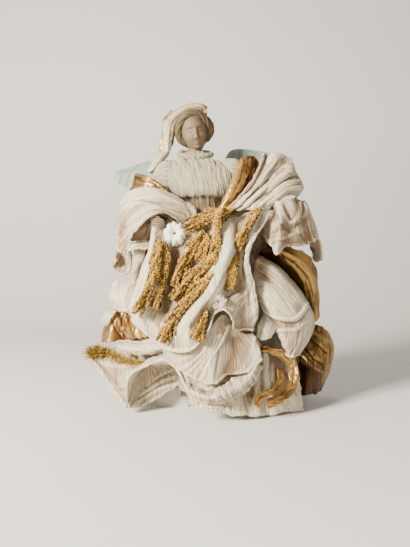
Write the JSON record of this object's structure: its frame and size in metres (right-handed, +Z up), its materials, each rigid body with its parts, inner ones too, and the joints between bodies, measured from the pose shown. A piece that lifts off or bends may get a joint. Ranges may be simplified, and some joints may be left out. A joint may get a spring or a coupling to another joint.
{
  "type": "porcelain angel doll",
  "caption": "Angel doll with a porcelain head, crinkled cloth gown, stiffened gold-lined drapery, feather-edged wings and a lap of dried grasses, on a small base block.",
  "frame": {"origin": "centre of the base block's underside, where the doll rests", "axes": "+Z up; the doll looks along -Y; +X is towards the viewer's right"},
  "size_m": [0.2504, 0.1657, 0.2975],
  "materials": {
    "base": "matt white paint",
    "cloth": "stiffened crinkled cloth, cream",
    "gown": "crinkled crepe, cream",
    "gold": "metallic gold cloth",
    "porcelain": "matt bisque, painted",
    "hair": "mohair wig, brown",
    "wing": "matt white feather cloth",
    "grass": "dried grass heads, golden brown",
    "moss": "dried moss, yellow green",
    "flower": "white cloth petals"
  },
  "bodies": {
    "root": {"base": "base", "apron": "cloth", "shoulder_fan": "cloth", "arm_ruffle": "cloth", "sleeve_drape": "cloth", "side_flap": "cloth", "flap_curl": "cloth", "skirt_front": "cloth", "skirt_left": "cloth", "skirt_inner": "cloth", "skirt_curl": "cloth", "flounce": "cloth", "underskirt": "cloth", "lap_lobe": "cloth", "cloth_tip": "cloth", "gold_fold": "gold", "gold_train": "gold", "gold_lining": "gold", "gold_sash": "gold", "sleeve_gold": "gold", "sleeve_hem": "cloth", "sleeve_inner": "cloth", "ribbon_outer": "gold", "ribbon_inner": "gold", "head": "porcelain", "veil": "cloth", "veil_gold": "gold", "wig": "hair", "collar": "gown", "bodice": "gown", "hand": "porcelain", "gown_skirt": "gown", "grass_1": "grass", "grass_2": "grass", "grass_3": "grass", "grass_4": "grass", "grass_5": "grass", "grass_6": "grass", "grass_7": "grass", "grass_8": "grass", "grass_9": "grass", "grass_10": "grass", "grass_11": "grass", "flower_large": "flower", "flower_small": "flower", "moss": "moss", "mantle_back": "cloth", "wing_left": "wing", "wing_right": "wing"}
  },
  "joints": []
}
